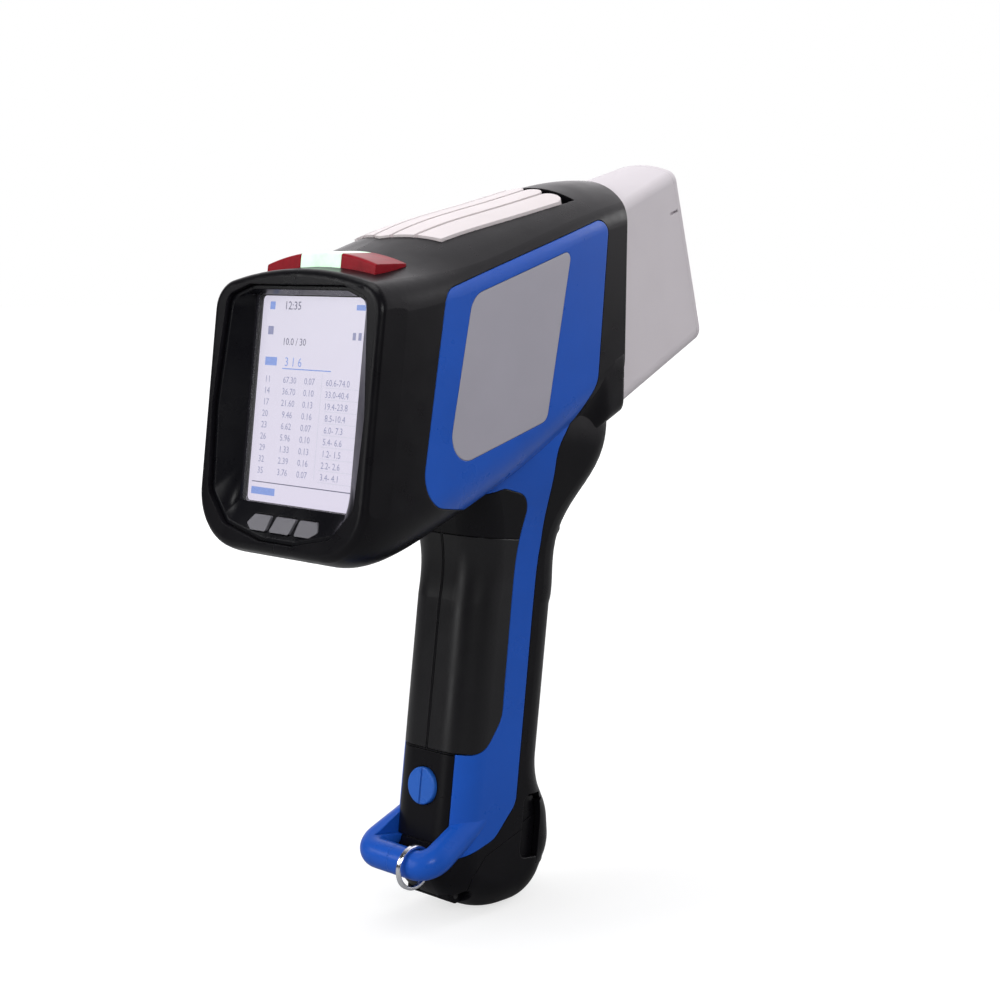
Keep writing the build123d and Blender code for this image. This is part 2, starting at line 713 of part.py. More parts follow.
def key_face(place, grow):
    """Rear view of a key: arrows at the ends, a plain block between."""
    half = KEY_WIDTH / 2
    tall = KEY_HEIGHT / 2
    if place == 0:
        points = [(-half, -tall), (half - KEY_SLANT, -tall), (half, tall), (-half + KEY_SLANT, tall)]
    else:
        tip = (half, -tall * 0.2)
        points = [(-half, -tall), (half * 0.4, -tall), tip, (half * 0.55, tall), (-half, tall)]
    points = [(x * (place or 1) + place * KEY_PITCH, z + KEY_Z) for x, z in points]
    face = make_face(Polyline(*points, close=True))
    face = fillet(face.vertices(), KEY_ROUND)
    return offset(face, grow) if grow else face


def key_prism(place, grow, y0, y1):
    """Key outline carried through the bezel."""
    return rear_slab(key_face(place, grow), y0, y1)


def key(place):
    """One key, its face following the slope under the screen."""
    low = BARREL_Z - SCREEN_HEIGHT / 2 - SCREEN_EASE
    foot = BEZEL_CORNERS[-1][1] + DISH_RIM
    lean = (DISH_FLOOR - BEZEL_REAR) / (low - foot)
    back = KEYPAD_Y - KEY_TRAVEL - 0.2
    foot_z = KEY_Z - 2 * KEY_HEIGHT
    top_z = KEY_Z + 2 * KEY_HEIGHT
    foot_face = DISH_FLOOR - (low - foot_z) * lean - KEY_PROUD
    top_face = DISH_FLOOR - (low - top_z) * lean - KEY_PROUD
    slope = [(foot_face, foot_z), (back, foot_z), (back, top_z), (top_face, top_z)]
    return key_prism(place, 0, FAR_REAR, BEZEL_FRONT) & side_prism(slope, -SIDE, SIDE)


def screen_stack():
    """Window, gasket, display and board, one behind the other."""
    gasket_y = WINDOW_Y + WINDOW_THICK
    panel_y = gasket_y + GASKET_THICK
    window = screen_slab(WINDOW_MARGIN, WINDOW_Y, gasket_y)
    gasket = screen_slab(WINDOW_MARGIN, gasket_y, panel_y) - screen_slab(0.4, gasket_y - 1, panel_y + 1)
    panel = screen_slab(WINDOW_MARGIN, panel_y, panel_y + PANEL_THICK)
    board_y = panel_y + PANEL_THICK
    board = box(-BOARD_HALF, BOARD_HALF, board_y, board_y + BOARD_THICK, BOARD_LOW, BOARD_HIGH)
    for x, half, low, high, height in CHIPS:
        board = board + box(x - half, x + half, board_y + 1, board_y + BOARD_THICK + height, low, high)
    return window, gasket, panel, board


def lens(x0, x1):
    """One status light: an arched block sunk in the crown, its top running out into the deck."""
    arch = ThreePointArc((-LENS_HALF, LENS_EDGE), (0, LENS_CROWN), (LENS_HALF, LENS_EDGE))
    half = LENS_HALF
    foot = Polyline((half, LENS_EDGE), (half, LENS_FLOOR), (-half, LENS_FLOOR), (-half, LENS_EDGE))
    length = (LENS_FRONT - LENS_REAR) * (1 + LENS_RISE)
    block = extrude(rear_plane(LENS_REAR) * make_face(arch + foot), length, dir=(0, 1, LENS_RISE))
    rear_edge = block.edges().group_by(Axis.Y)[0].sort_by(Axis.Z)[-1]
    block = fillet(rear_edge, LENS_ROUND)
    return (block & box(x0, x1, LENS_REAR, LENS_FRONT, LENS_FLOOR, HUGE)) - envelope(LENS_DEPTH)


def light_board():
    """Board under the status lights with one emitter each."""
    half = LIGHT_BOARD_HALF
    middle = (LIGHT_BOARD_REAR + LIGHT_BOARD_FRONT) / 2
    board = box(-half, half, LIGHT_BOARD_REAR, LIGHT_BOARD_FRONT, LIGHT_BOARD_LOW, LIGHT_BOARD_HIGH)
    for x in (-LIGHT_PITCH, 0, LIGHT_PITCH):
        board = board + Pos(x, middle, LIGHT_BOARD_HIGH) * Cylinder(EMITTER_RADIUS, EMITTER_HEIGHT)
    return board


def heat_sink():
    """Ribbed heat sink with rounded rib ends."""
    body_shape = sink_zone(0) & (envelope(-SINK_PROUD) - envelope(SINK_DEPTH))
    pitch = 2 * SINK_HALF / SINK_RIBS
    radius = (pitch - SINK_GROOVE) / 2
    for rib in range(SINK_RIBS):
        x = (rib - (SINK_RIBS - 1) / 2) * pitch
        end = box(x - pitch / 2, x + pitch / 2, SINK_FRONT - radius, SINK_FRONT + 5, 0, SINK_REACH)
        tip = Pos(x, SINK_FRONT - radius, SINK_REACH / 2) * Cylinder(radius, SINK_REACH)
        body_shape = body_shape - BARREL * (end - tip)
    for gap in range(1, SINK_RIBS):
        x = gap * pitch - SINK_HALF
        groove = BARREL * box(x - SINK_GROOVE / 2, x + SINK_GROOVE / 2, 0, FAR_FRONT, 0, SINK_REACH)
        body_shape = body_shape - (groove - envelope(SINK_GROOVE_DEPTH - SINK_PROUD))
    return body_shape


def nose_boss_places():
    """Corners where the nose and its bracket are screwed together."""
    return [(x, h) for x in (-NOSE_BOSS_X, NOSE_BOSS_X) for h in NOSE_BOSS_H]


def face_screw_places():
    """Corners of the faceplate."""
    return [(x, h) for x in (-FACE_SCREW_X, FACE_SCREW_X) for h in FACE_SCREW_H]


def nose_shell():
    """Hollow tapering nose."""
    front = NOSE_MOUTH[0] - FACEPLATE
    shell = nose_solid(0, NOSE_REAR, front) - nose_solid(NOSE_WALL, NOSE_REAR - 1, front - NOSE_WALL)
    for x, h in nose_boss_places():
        boss = rod(NOSE_BOSS, NOSE_REAR, NOSE_REAR + NOSE_BOSS_LENGTH, x, h) & nose_solid(1, NOSE_REAR, front)
        shell = shell + boss - rod(FACE_SCREW, NOSE_REAR - 1, NOSE_REAR + 9, x, h)
    for x, h in face_screw_places():
        shell = shell + (rod(NOSE_BOSS, front - 8, front, x, h) & nose_solid(1, TUBE_SHOULDER, front))
        shell = shell - rod(FACE_SCREW, front - 7, front + 1, x, h)
    shell = shell - rod(FRAME_RADIUS, front - 10, front + 1, z=PORT_H)
    low, high, length, depth = SLIT
    slit = box(-SIDE, SIDE, front - length, front + 1, low, high)
    slit = slit - nose_solid(depth, TUBE_SHOULDER, front + 2)
    return shell - slit


def faceplate():
    """Front plate around the measuring window."""
    front = NOSE_MOUTH[0]
    back = front - FACEPLATE
    plate = nose_solid(0, back, front)
    plate = fillet(plate.edges().group_by(Axis.Y)[-1], FACE_EDGE)
    plate = plate - rod(FILM_RADIUS, back - 1, front + 1, z=PORT_H)
    plate = plate - rod(FRAME_RADIUS + SEAM, front - FRAME_SEAT, front + 1, z=PORT_H)
    for x, h in face_screw_places():
        plate = plate - rod(FACE_SCREW + 0.1, back - 1, front + 1, x, h)
        plate = plate - rod(FACE_SCREW_HEAD + 0.2, front - FACE_SCREW_SEAT, front + 1, x, h)
    return plate


def window_frame():
    """Ring holding the window film against the faceplate."""
    front = NOSE_MOUTH[0]
    ring = rod(FRAME_RADIUS, front - FRAME_SEAT, front + FRAME_PROUD, z=PORT_H)
    ring = chamfer(ring.edges().group_by(Axis.Y)[-1], FRAME_EDGE)
    ring = ring - rod(FILM_RADIUS, front - 5, front + 5, z=PORT_H)
    beyond, below = FRAME_GROOVE
    return ring - rod(FILM_RADIUS + beyond, front - 2, front - below, z=PORT_H)


def screw_along(y_seat, length, x, h, toward):
    """Small socket screw along the barrel, its head on the seat."""
    tip = y_seat + toward * length
    crown = y_seat - toward * FACE_SCREW_HEAD_THICK
    shank = rod(FACE_SCREW, min(y_seat, tip), max(y_seat, tip), x, h)
    head = rod(FACE_SCREW_HEAD, min(y_seat, crown), max(y_seat, crown), x, h)
    size, depth = SMALL_SOCKET
    socket = Pos(x, crown, h) * Rot(90, 0, 0) * extrude(RegularPolygon(size, 6), depth, both=True)
    return shank + head - socket


def engine():
    """Tube, detector, bracket, carrier, filter wheel and motor inside the nose."""
    outline = nose_solid(0, NOSE_REAR - BRACKET_THICK, NOSE_REAR)
    bracket = outline - rod(TUBE_RADIUS, 0, FAR_FRONT, z=TUBE_H)
    bracket = bracket - rod(DETECTOR_RADIUS, 0, FAR_FRONT, z=DETECTOR_H)
    for x, h in nose_boss_places():
        bracket = bracket - rod(FACE_SCREW + 0.1, 0, FAR_FRONT, x, h)
    tube = rod(TUBE_RADIUS, TUBE_START, TUBE_SHOULDER, z=TUBE_H)
    tube = tube + rod(TUBE_TIP_RADIUS, TUBE_SHOULDER, TUBE_END, z=TUBE_H)
    first, pitch, thick, height = TUBE_FIN
    for fin in range(TUBE_FINS):
        y = TUBE_START + first + fin * pitch
        tube = tube + rod(TUBE_RADIUS + height, y, y + thick, z=TUBE_H)
    detector = rod(DETECTOR_RADIUS, DETECTOR_START, DETECTOR_SHOULDER, z=DETECTOR_H)
    detector = detector + rod(DETECTOR_TIP_RADIUS, DETECTOR_SHOULDER, TUBE_END, z=DETECTOR_H)
    carrier = nose_solid(NOSE_WALL + 0.1, CARRIER_S, CARRIER_S + CARRIER_THICK)
    for radius, h in ((CARRIER_WINDOW, TUBE_H), (CARRIER_WINDOW, DETECTOR_H), (SHAFT_RADIUS + 0.4, WHEEL_H)):
        carrier = carrier - rod(radius, 0, FAR_FRONT, z=h)
    wheel = rod(WHEEL_RADIUS, WHEEL_S, WHEEL_S + WHEEL_THICK, z=WHEEL_H)
    spin = rod(SHAFT_RADIUS, CARRIER_S - 6, WHEEL_S + WHEEL_THICK + 0.8, z=WHEEL_H)
    for slot in range(FILTERS):
        hole = rod(FILTER_RADIUS, WHEEL_S - 1, WHEEL_S + 5, z=TUBE_H)
        turn = Pos(0, 0, WHEEL_H) * Rot(0, slot * 360 / FILTERS, 0) * Pos(0, 0, -WHEEL_H)
        wheel = wheel - turn * hole
    motor = rod(MOTOR_RADIUS, CARRIER_S - MOTOR_LENGTH, CARRIER_S, z=WHEEL_H)
    motor = motor - rod(SHAFT_RADIUS + 0.15, CARRIER_S - 6.5, CARRIER_S + 1, z=WHEEL_H)
    return bracket, tube, detector, carrier, wheel + spin, motor


def signal_electronics():
    """Signal board on its rails with the power supply on top."""
    length = RAIL_END - 4.5
    top = RAIL_H + SIGNAL_THICK / 2
    board = box(-SIGNAL_HALF, SIGNAL_HALF, SIGNAL_START, length, top - SIGNAL_THICK, top)
    pitch, half, start, end, height = SIGNAL_CHIPS
    for x in (-pitch, 0, pitch):
        board = board + box(x - half, x + half, start, end, RAIL_H, RAIL_H + height)
    supply = box(-SUPPLY_HALF, SUPPLY_HALF, SUPPLY_START, SUPPLY_END, top, top + SUPPLY_HEIGHT)
    supply = fillet(supply.edges().filter_by(Axis.Z), SUPPLY_ROUND)
    return board, supply


def trigger():
    """Finger trigger hung on its pin."""
    corners = [(point, TRIGGER_ROUND) for point in TRIGGER_FACE]
    back = [(point, TRIGGER_BACK_ROUND) for point in TRIGGER_BACK]
    face = rounded(corners + back)
    shape = extrude(Plane.YZ * face, TRIGGER_HALF, both=True)
    front = [e for e in shape.edges() if abs(e.center().X) > TRIGGER_HALF - 0.01 and e.center().Y > 14]
    shape = fillet(front, TRIGGER_EDGE)
    shape = shape - pin(TRIGGER_PIN_RADIUS + RUN, -SIDE, SIDE, TRIGGER_PIN_Y, TRIGGER_PIN_Z)
    radius, half = SPRING_ROOM
    return shape - pin(radius, -half, half, TRIGGER_PIN_Y, TRIGGER_PIN_Z)


def trigger_spring():
    """Return spring closely coiled around the trigger pin, as a grooved sleeve."""
    sleeve = pin(SPRING_RADIUS, -SPRING_HALF, SPRING_HALF, TRIGGER_PIN_Y, TRIGGER_PIN_Z)
    half, depth = SPRING_GROOVE
    for turn in range(1, SPRING_TURNS):
        x = turn * 2 * SPRING_HALF / SPRING_TURNS - SPRING_HALF
        sleeve = sleeve - pin(SPRING_RADIUS + 1, x - half, x + half, TRIGGER_PIN_Y, TRIGGER_PIN_Z)
        sleeve = sleeve + pin(SPRING_RADIUS - depth, x - half, x + half, TRIGGER_PIN_Y, TRIGGER_PIN_Z)
    return sleeve - pin(TRIGGER_PIN_RADIUS + 0.1, -5, 5, TRIGGER_PIN_Y, TRIGGER_PIN_Z)


def lanyard_ring():
    """Ring hanging plumb on the lanyard bar."""
    ring = pin(RING_OUTER, RING_X - RING_HALF, RING_X + RING_HALF, 0, -RING_DROP)
    ring = ring - pin(RING_INNER, RING_X - 5, RING_X + 5, 0, -RING_DROP)
    ring = chamfer(ring.edges().filter_by(GeomType.CIRCLE), RING_EDGE)
    return Pos(0, BAR_Y, BAR_Z) * Rot(LEAN, 0, 0) * ring


def battery_pack():
    """Battery standing in the grip."""
    block = box(-BATTERY_HALF, BATTERY_HALF, BATTERY_REAR, BATTERY_FRONT, BATTERY_LOW, BATTERY_HIGH)
    return fillet(block.edges().filter_by(Axis.Z), BATTERY_ROUND)


def battery_contacts():
    """Contact block over the battery."""
    low = BATTERY_HIGH + FIT
    across, along = CONTACT_LIP
    side = CONTACT_HALF + across
    block = box(-CONTACT_HALF, CONTACT_HALF, CONTACT_REAR, CONTACT_FRONT, low, low + CONTACT_HEIGHT)
    return block + box(-side, side, CONTACT_REAR - along, CONTACT_FRONT + along, low, low + CONTACT_GAP)


def battery_cover():
    """Lower part of the boot, hinged at the heel."""
    cover = (OUTER & below_seam(0)) - INNER
    cover = cover - latch_pocket()
    cover = cover - pin(HINGE_RADIUS + KNUCKLE_ROOM, -SIDE, SIDE, HINGE_Y, HINGE_Z)
    leaf = pin(HINGE_RADIUS, -HINGE_SPLIT, HINGE_SPLIT, HINGE_Y, HINGE_Z)
    root = box(-HINGE_SPLIT, HINGE_SPLIT, HINGE_Y, HINGE_Y + 5, HINGE_Z - HINGE_RADIUS, HINGE_Z + 1)
    leaf = leaf + (root & OUTER)
    cover = cover + leaf - pin(HINGE_PIN + RUN, -SIDE, SIDE, HINGE_Y, HINGE_Z)
    room = LATCH_HALF + KNUCKLE_ROOM
    cover = cover - pin(LATCH_KNUCKLE + KNUCKLE_ROOM, -room, room, LATCH_PIN_Y, LATCH_LOW)
    for side in (-1, 1):
        x = side * (LUG_NEAR + LUG_FAR) / 2
        half = (LUG_FAR - LUG_NEAR) / 2
        lug = pin(LATCH_KNUCKLE, x - half, x + half, LATCH_PIN_Y, LATCH_LOW)
        lug_rear = LATCH_PIN_Y - LATCH_KNUCKLE
        lug = lug + box(x - half, x + half, lug_rear, LATCH_PIN_Y, LATCH_LOW - 8, LATCH_LOW)
        cover = cover + (lug & OUTER)
        near = side * SHELF_HALF - SHELF_THICK / 2
        shelf = box(near, near + SHELF_THICK, SHELF_REAR, SHELF_FRONT, SHELF_LOW, BATTERY_LOW - FIT)
        cover = cover + (shelf & OUTER)
    return cover - pin(LATCH_PIN, -LATCH_HALF, LATCH_HALF, LATCH_PIN_Y, LATCH_LOW)


def cover_latch():
    """Front latch of the battery cover."""
    zone = box(-SIDE, SIDE, LATCH_REAR, SIDE, LATCH_LOW, LATCH_HIGH)
    lever = zone & (OUTER - envelope(LATCH_DEPTH))
    lever = lever & pin(LATCH_HIGH - LATCH_LOW, -SIDE, SIDE, LATCH_PIN_Y, LATCH_LOW)
    lever = lever + pin(LATCH_KNUCKLE, -LATCH_HALF, LATCH_HALF, LATCH_PIN_Y, LATCH_LOW)
    for side in (-1, 1):
        x = side * (LUG_NEAR + LUG_FAR) / 2
        half = (LUG_FAR - LUG_NEAR) / 2 + FIT
        lever = lever - pin(LATCH_KNUCKLE + FIT, x - half, x + half, LATCH_PIN_Y, LATCH_LOW)
        lever = lever - box(x - half, x + half, LATCH_PIN_Y - 4, LATCH_PIN_Y, LATCH_LOW - 4, LATCH_LOW)
    reach = LATCH_HALF + 1
    return lever - pin(LATCH_PIN + RUN, -reach, reach, LATCH_PIN_Y, LATCH_LOW)


def halves(shape):
    """Split a shape on the middle plane."""
    right = shape & box(0, HUGE, -HUGE, HUGE, -HUGE, HUGE)
    left = shape & box(-HUGE, 0, -HUGE, HUGE, -HUGE, HUGE)
    return right, left


def pair(shape):
    """A right-hand piece and its mirror image."""
    return shape, mirror(shape, Plane.YZ)


def save(name, shape, place=GRIP):
    """Write one node in the shared frame."""
    solids = shape if isinstance(shape, list) else shape.solids()
    placed = [place * solid for solid in solids]
    export_step(placed[0] if len(placed) == 1 else Compound(children=placed), f"parts/{name}.step")


OUTER = envelope(0)
UNDER = envelope(COVER)
INNER = envelope(WALL)
SKIN = OUTER - UNDER

for name, piece in zip(("housing_right", "housing_left"), halves(housing())):
    save(name, piece)
save("housing_screws", housing_screws())
for name, piece in zip(("side_cover_right", "side_cover_left"), pair(side_cover())):
    save(name, piece)
for name, piece in zip(("side_plate_right", "side_plate_left"), pair(side_plate())):
    save(name, piece)
for name, piece in zip(("grip_pad_right", "grip_pad_left"), pair(SKIN & pad_zone(0))):
    save(name, piece)
save("switch_panel", switch_panel())
save("power_button", power_button())
half, rear, front = POWER_SWITCH
save("power_switch", box(-half, half, rear, front, POWER_Z - half, POWER_Z + half))

save("rear_bezel", rear_bezel())
for name, piece in zip(("display_window", "display_gasket", "display_panel", "main_board"), screen_stack()):
    save(name, piece)
for name, place in (("button_left", -1), ("button_centre", 0), ("button_right", 1)):
    save(name, key(place))
keypad_front = KEYPAD_Y + KEYPAD_THICK
save("keypad_board", box(-KEYPAD_HALF, KEYPAD_HALF, KEYPAD_Y, keypad_front, KEYPAD_LOW, KEYPAD_HIGH))

edge = LENS_SPLIT + SEAM / 2
save("light_lens_left", lens(-LENS_HALF, -edge))
save("light_lens_centre", lens(-edge + SEAM, edge - SEAM))
save("light_lens_right", lens(edge, LENS_HALF))
save("light_board", light_board())
save("heat_sink", heat_sink())

BORE = GRIP * BARREL
save("nose_shell", nose_shell(), BORE)
save("nose_faceplate", faceplate(), BORE)
save("window_frame", window_frame(), BORE)
film = NOSE_MOUTH[0] - 1.3
save("window_film", rod(FILM_RADIUS + 1.1, film, film + 0.2, z=PORT_H), BORE)
face_seat = NOSE_MOUTH[0] - FACE_SCREW_SEAT
face_screws = [screw_along(face_seat, FACE_SCREW_LENGTH, x, h, -1) for x, h in face_screw_places()]
save("faceplate_screws", face_screws, BORE)
nose_seat = NOSE_REAR - BRACKET_THICK
nose_screws = [screw_along(nose_seat, NOSE_SCREW_LENGTH, x, h, 1) for x, h in nose_boss_places()]
save("nose_screws", nose_screws, BORE)
ENGINE = ("engine_bracket", "xray_tube", "detector", "filter_carrier", "filter_wheel", "filter_motor")
for name, piece in zip(ENGINE, engine()):
    save(name, piece, BORE)
for name, piece in zip(("signal_board", "power_supply"), signal_electronics()):
    save(name, piece, BORE)

save("trigger", trigger())
trigger_pin = pin(TRIGGER_PIN_RADIUS, -TRIGGER_PIN_HALF, TRIGGER_PIN_HALF, TRIGGER_PIN_Y, TRIGGER_PIN_Z)
save("trigger_pin", trigger_pin)
save("trigger_spring", trigger_spring())
half, *extent = TRIGGER_SWITCH
save("trigger_switch", box(-half, half, *extent))
save("battery_pack", battery_pack())
save("battery_contacts", battery_contacts())
save("battery_cover", battery_cover())
save("cover_hinge_pin", pin(HINGE_PIN, -HINGE_HALF, HINGE_HALF, HINGE_Y, HINGE_Z))
save("cover_latch", cover_latch())
save("latch_pin", pin(LATCH_PIN, -LATCH_PIN_HALF, LATCH_PIN_HALF, LATCH_PIN_Y, LATCH_LOW))
save("lanyard_ring", lanyard_ring())
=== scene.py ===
import json
import math

import bpy
from mathutils import Matrix, Vector

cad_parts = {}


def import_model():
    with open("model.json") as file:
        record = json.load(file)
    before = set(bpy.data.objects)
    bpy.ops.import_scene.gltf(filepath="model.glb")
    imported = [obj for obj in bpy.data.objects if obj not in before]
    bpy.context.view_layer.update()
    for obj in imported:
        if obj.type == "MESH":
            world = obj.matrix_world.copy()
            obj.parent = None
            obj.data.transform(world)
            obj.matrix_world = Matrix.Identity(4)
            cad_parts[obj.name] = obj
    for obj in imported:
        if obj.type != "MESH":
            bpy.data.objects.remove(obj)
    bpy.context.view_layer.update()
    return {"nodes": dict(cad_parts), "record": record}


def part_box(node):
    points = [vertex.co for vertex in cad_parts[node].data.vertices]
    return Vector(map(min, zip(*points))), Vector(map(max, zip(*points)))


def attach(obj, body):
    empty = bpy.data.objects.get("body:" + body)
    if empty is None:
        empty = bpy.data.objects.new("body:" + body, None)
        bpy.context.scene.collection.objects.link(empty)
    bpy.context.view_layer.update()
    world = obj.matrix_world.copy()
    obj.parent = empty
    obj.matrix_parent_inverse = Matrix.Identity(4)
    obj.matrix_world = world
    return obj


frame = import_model()

# Sizes in metres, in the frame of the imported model: X operator's right, Y forward, Z up.
MM = 0.001
GRIP_LEAN = math.radians(7.3)          # the screen and the grip lean forward by this
SCREEN_WIDTH = 57.0 * MM
SCREEN_HEIGHT = 73.0 * MM

# The photograph's camera, its frame taken as 1000 by 1000.
AZIMUTH = math.radians(43.257)
ELEVATION = math.radians(7.542)
ROLL = math.radians(0.121)
FOCAL_PIXELS = 1800.0
FRAME_PIXELS = 1000.0
SENSOR = 36.0
DISTANCE = 0.706381
TARGET = Vector((0.0, 0.01088, 0.158596))


# ---------------------------------------------------------------- node helpers

def new_material(name):
    """A node material and its Principled shader."""
    made = bpy.data.materials.new(name)
    made.use_nodes = True
    shader = made.node_tree.nodes["Principled BSDF"]
    return made, shader


def add(tree, kind, **values):
    """A node with its input sockets set by name."""
    node = tree.nodes.new(kind)
    for socket, value in values.items():
        node.inputs[socket.replace("_", " ")].default_value = value
    return node


def object_point(tree):
    """Coordinates fixed to the piece, in metres."""
    return tree.nodes.new("ShaderNodeTexCoord").outputs["Object"]


def noise(tree, point, scale, detail=3.0):
    """Soft noise at so many cycles a metre."""
    node = add(tree, "ShaderNodeTexNoise", Scale=scale, Detail=detail)
    tree.links.new(point, node.inputs["Vector"])
    return node.outputs["Fac"]


def spread(tree, value, low, high):
    """Noise value stretched between two levels."""
    node = tree.nodes.new("ShaderNodeMapRange")
    node.inputs["From Min"].default_value = 0.3
    node.inputs["From Max"].default_value = 0.7
    node.inputs["To Min"].default_value = low
    node.inputs["To Max"].default_value = high
    tree.links.new(value, node.inputs["Value"])
    return node.outputs["Result"]


def blend(tree, share, first, second):
    """Colour between two, by a share from 0 to 1."""
    mix = tree.nodes.new("ShaderNodeMix")
    mix.data_type = "RGBA"
    mix.inputs["A"].default_value = (*first, 1.0)
    mix.inputs["B"].default_value = (*second, 1.0)
    tree.links.new(share, mix.inputs["Factor"])
    return mix.outputs["Result"]


def tint(tree, shader, value, dark, light):
    """Base colour that wanders between two close shades."""
    shade = blend(tree, spread(tree, value, 0.0, 1.0), dark, light)
    tree.links.new(shade, shader.inputs["Base Color"])


def relief(tree, shader, height, depth, edge):
    """Surface grain over edges softened by a small radius."""
    bevel = tree.nodes.new("ShaderNodeBevel")
    bevel.samples = 4
    bevel.inputs["Radius"].default_value = edge
    bump = tree.nodes.new("ShaderNodeBump")
    bump.inputs["Strength"].default_value = 1.0
    bump.inputs["Distance"].default_value = depth
    tree.links.new(height, bump.inputs["Height"])
    tree.links.new(bevel.outputs["Normal"], bump.inputs["Normal"])
    tree.links.new(bump.outputs["Normal"], shader.inputs["Normal"])


def moulded(name, colour, roughness, grain=1500.0, depth=0.00002, edge=0.0006, drift=0.12, gloss=0.5):
    """Moulded plastic: spark grain, a little drift in shade and sheen, soft edges."""
    made, shader = new_material(name)
    tree = made.node_tree
    point = object_point(tree)
    clouds = noise(tree, point, 38.0)
    dark = [channel * (1 - drift) for channel in colour]
    light = [min(1.0, channel * (1 + drift)) for channel in colour]
    tint(tree, shader, clouds, dark, light)
    smudges = noise(tree, point, 90.0, 5.0)
    tree.links.new(spread(tree, smudges, roughness - 0.04, roughness + 0.06), shader.inputs["Roughness"])
    relief(tree, shader, noise(tree, point, grain, 2.0), depth, edge)
    shader.inputs["Specular IOR Level"].default_value = gloss
    return made


def metal(name, colour, roughness, brushed=False, edge=0.0003):
    """Bare or plated metal, with lathe marks where it is brushed."""
    made, shader = new_material(name)
    tree = made.node_tree
    point = object_point(tree)
    if brushed:
        stretch = tree.nodes.new("ShaderNodeMapping")
        stretch.inputs["Scale"].default_value = (6.0, 1.0, 1.0)
        tree.links.new(point, stretch.inputs["Vector"])
        point = stretch.outputs["Vector"]
    tint(tree, shader, noise(tree, point, 400.0), [c * 0.85 for c in colour], colour)
    tree.links.new(spread(tree, noise(tree, point, 900.0), roughness - 0.05, roughness + 0.08),
                   shader.inputs["Roughness"])
    relief(tree, shader, noise(tree, point, 2500.0), 0.000008, edge)
    shader.inputs["Metallic"].default_value = 1.0
    return made


def lens(name, colour, glow, strength):
    """Clear moulded lens with prisms inside; its emission is the lamp behind it where the lamp is lit, and
    a faint painted glow where it is not.
    """
    made, shader = new_material(name)
    tree = made.node_tree
    point = object_point(tree)
    tint(tree, shader, noise(tree, point, 220.0), [c * 0.7 for c in colour], colour)
    shader.inputs["Roughness"].default_value = 0.30
    shader.inputs["Specular IOR Level"].default_value = 0.08
    shader.inputs["Emission Color"].default_value = (*glow, 1.0)
    shader.inputs["Emission Strength"].default_value = strength
    wave = add(tree, "ShaderNodeTexWave", Scale=160.0, Distortion=0.0)
    tree.links.new(point, wave.inputs["Vector"])
    relief(tree, shader, wave.outputs["Fac"], 0.00001, 0.0008)
    return made


def display(name):
    """Lit panel: pale lavender, a little warmer and dimmer towards one corner."""
    made, shader = new_material(name)
    tree = made.node_tree
    shader.inputs["Base Color"].default_value = (0.03, 0.03, 0.035, 1.0)
    shader.inputs["Roughness"].default_value = 0.25
    split = tree.nodes.new("ShaderNodeSeparateXYZ")
    tree.links.new(object_point(tree), split.inputs["Vector"])
    ramp = tree.nodes.new("ShaderNodeMapRange")
    low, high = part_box("display_panel")
    ramp.inputs["From Min"].default_value = low[2]
    ramp.inputs["From Max"].default_value = high[2]
    tree.links.new(split.outputs["Z"], ramp.inputs["Value"])
    glow = blend(tree, ramp.outputs["Result"], (0.78, 0.73, 0.88), (0.74, 0.71, 0.84))
    tree.links.new(glow, shader.inputs["Emission Color"])
    shader.inputs["Emission Strength"].default_value = 0.9
    return made


def clear(name, colour, alpha, roughness):
    """Thin clear sheet over what lies behind it."""
    made, shader = new_material(name)
    tree = made.node_tree
    tint(tree, shader, noise(tree, object_point(tree), 60.0), [c * 0.9 for c in colour], colour)
    shader.inputs["Alpha"].default_value = alpha
    shader.inputs["Roughness"].default_value = roughness
    made.surface_render_method = "BLENDED"
    return made


def board(name):
    """Green laminate with copper tracks under the lacquer."""
    made, shader = new_material(name)
    tree = made.node_tree
    point = object_point(tree)
    tracks = add(tree, "ShaderNodeTexBrick", Scale=260.0)
    tracks.inputs["Mortar Size"].default_value = 0.03
    tracks.inputs["Color1"].default_value = (0.008, 0.10, 0.045, 1.0)
    tracks.inputs["Color2"].default_value = (0.010, 0.13, 0.055, 1.0)
    tracks.inputs["Mortar"].default_value = (0.03, 0.22, 0.08, 1.0)
    tree.links.new(point, tracks.inputs["Vector"])
    tree.links.new(tracks.outputs["Color"], shader.inputs["Base Color"])
    shader.inputs["Roughness"].default_value = 0.35
    relief(tree, shader, tracks.outputs["Fac"], 0.00002, 0.0001)
    return made


def mesh_piece(name, points, faces, material):
    """Object of one material from points and faces."""
    mesh = bpy.data.meshes.new(name)
    mesh.from_pydata(points, [], faces)
    mesh.materials.append(material)
    piece = bpy.data.objects.new(name, mesh)
    bpy.context.collection.objects.link(piece)
    return piece


# ---------------------------------------------------------------- finishes of the CAD nodes

